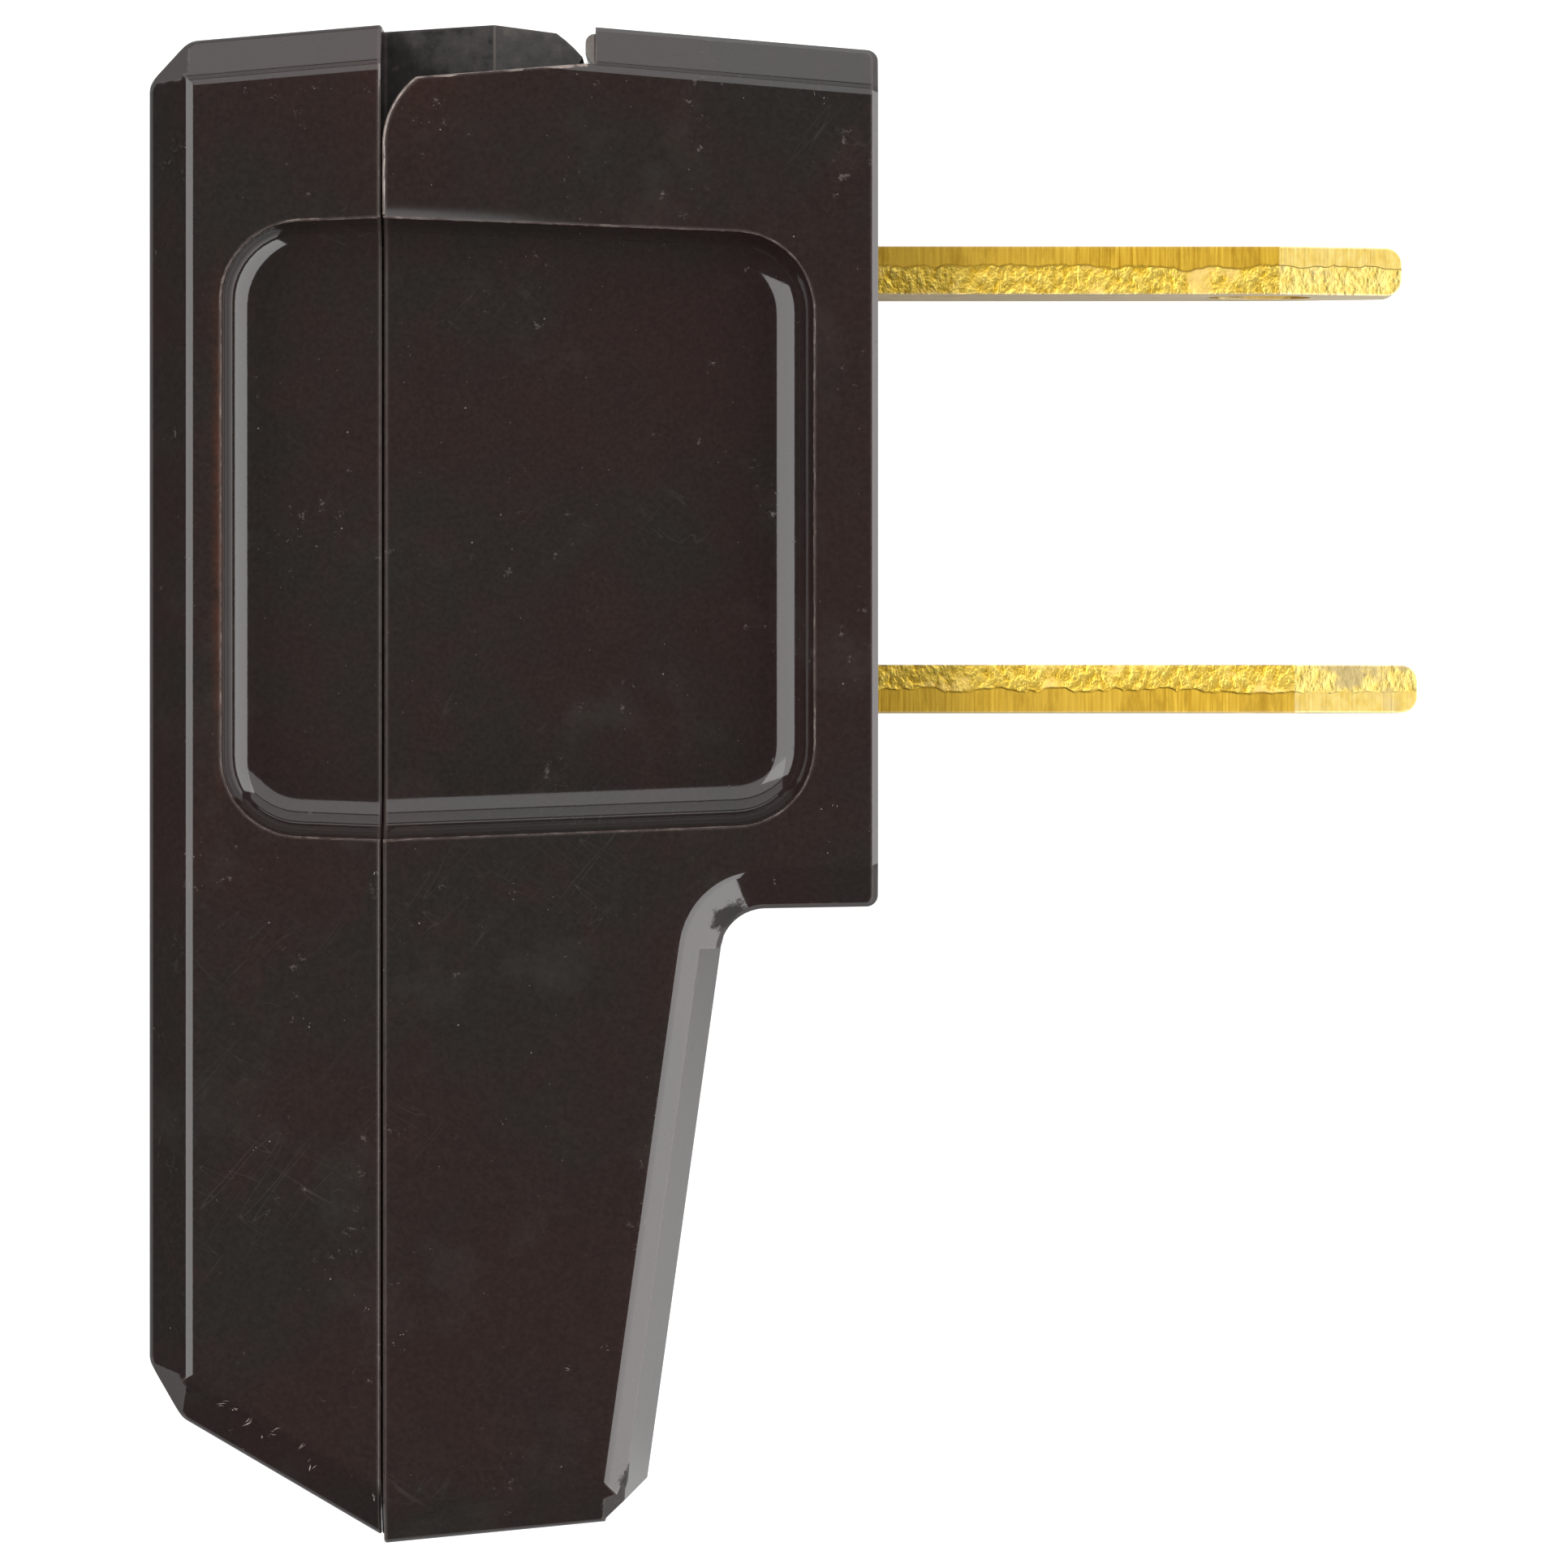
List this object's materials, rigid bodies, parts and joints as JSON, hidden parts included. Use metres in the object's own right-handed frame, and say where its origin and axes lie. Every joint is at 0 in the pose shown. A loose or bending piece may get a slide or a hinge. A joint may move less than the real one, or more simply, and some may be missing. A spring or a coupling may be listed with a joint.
{
  "type": "straight blade plug",
  "caption": "Right-angle straight blade mains plug in a glossy moulded housing, with finger-grip recesses and a hinged rear cover that closes over a flat cord.",
  "frame": {"origin": "middle of the face that meets the outlet, half way between the two blades and at the middle of the width", "axes": "+X out of the face along the blades, +Y up the face away from the cord mouth, +Z across the width; the plug lies on its -Z side"},
  "size_m": [0.0384, 0.0458, 0.018],
  "materials": {
    "housing": "glossy dark brown, as moulded",
    "blade_brass": "bright stamped brass, unplated"
  },
  "bodies": {
    "body": {"front_body": "housing", "upper_blade": "blade_brass", "lower_blade": "blade_brass"},
    "cover": {"hinged_cover": "housing"}
  },
  "joints": [
    {"name": "cover_hinge", "type": "hinge", "parent": "body", "child": "cover", "pos_m": [-0.0123, 0.0099, 0], "axis": [0, 0, -1], "range_deg": [0, 70]}
  ]
}
